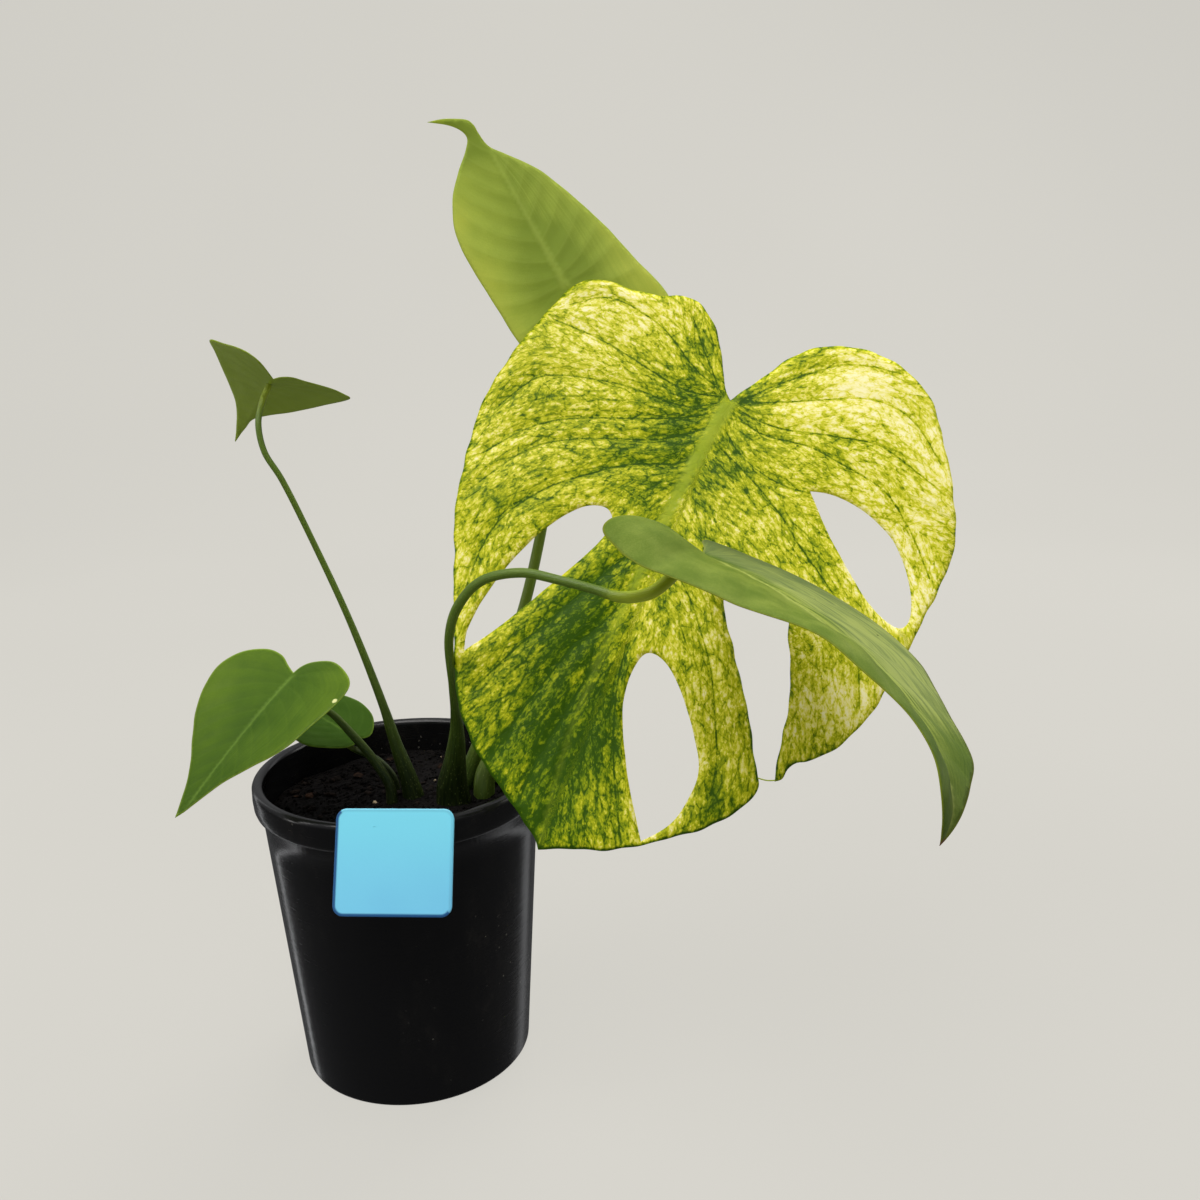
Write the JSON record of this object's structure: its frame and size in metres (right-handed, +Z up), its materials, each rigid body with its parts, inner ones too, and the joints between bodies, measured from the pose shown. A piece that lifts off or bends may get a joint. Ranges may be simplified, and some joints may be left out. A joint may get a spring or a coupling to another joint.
{
  "type": "potted monstera plant",
  "caption": "Young potted monstera: a large yellow-marbled leaf with holes and smaller plain green leaves on long stalks, in a black nursery pot with a blank blue clip-on label.",
  "frame": {"origin": "centre of the pot's base, on the surface that it stands on", "axes": "+Z up along the pot's axis; the plant is seen in the picture from -Y, with +X to the right"},
  "size_m": [0.3017, 0.2231, 0.3869],
  "materials": {
    "pot": "black moulded plastic, glossy with fine scuffs",
    "soil": "dark moist potting mix with bark and pale bits",
    "label": "flat light blue plastic, blank",
    "root": "pale brown, fibrous",
    "leaf_marbled": "satin living leaf, cream and yellow with green marbling along the veins",
    "leaf_light": "satin living leaf, light green with yellowish margins",
    "leaf_green": "satin living leaf, mid green",
    "stalk": "smooth green stalk, darker near the soil"
  },
  "bodies": {
    "root": {"pot": "pot", "soil": "soil", "label": "label", "stem_main": "root", "stem_side": "root", "blade_marbled": "leaf_marbled", "stalk_marbled": "stalk", "blade_top": "leaf_light", "stalk_top": "stalk", "blade_front": "leaf_green", "stalk_front": "stalk", "blade_low_front": "leaf_green", "stalk_low_front": "stalk", "blade_low_back": "leaf_green", "stalk_low_back": "stalk", "blade_upper_left": "leaf_green", "stalk_upper_left": "stalk"}
  },
  "joints": []
}
